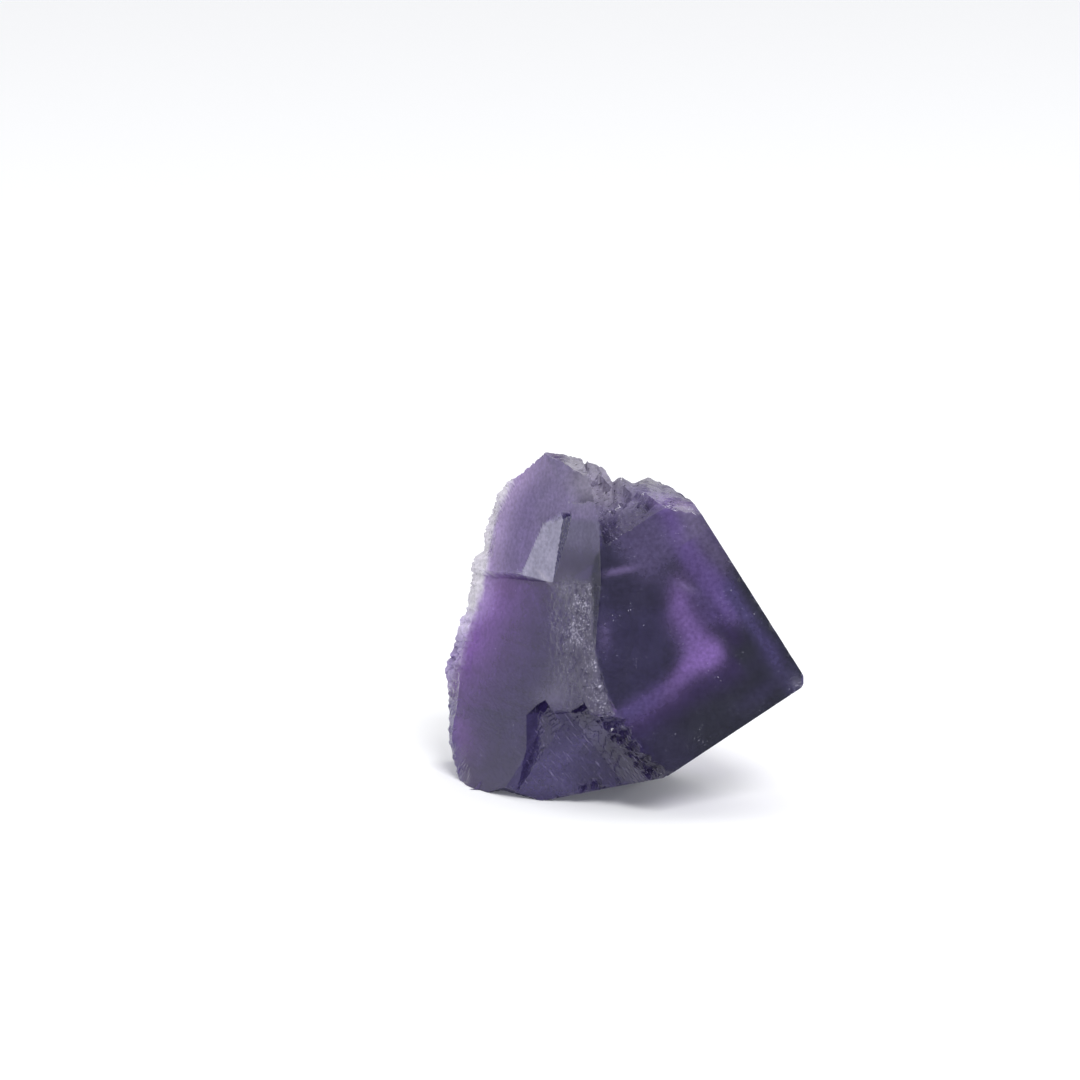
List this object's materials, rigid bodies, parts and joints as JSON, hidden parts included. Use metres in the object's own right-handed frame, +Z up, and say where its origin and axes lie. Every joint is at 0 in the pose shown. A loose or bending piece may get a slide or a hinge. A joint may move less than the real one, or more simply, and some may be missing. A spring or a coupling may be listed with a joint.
{
  "type": "fluorite crystal fragment",
  "caption": "Broken corner of a purple fluorite cube, with flat growth faces, octahedral cleavage faces and hackly broken edges, resting on a flat break.",
  "frame": {"origin": "middle of the bounding box's footprint, on the surface that the stone rests on", "axes": "+Z up; +X to the right along the front cube face, towards the cube corner; the front cube face looks along -Y and leans back 11 degrees"},
  "size_m": [0.0356, 0.0294, 0.0345],
  "materials": {
    "fluorite": "glassy clear violet stone with darker growth bands, smooth cleavage faces and frosted broken edges"
  },
  "bodies": {
    "root": {"crystal": "fluorite"}
  },
  "joints": []
}
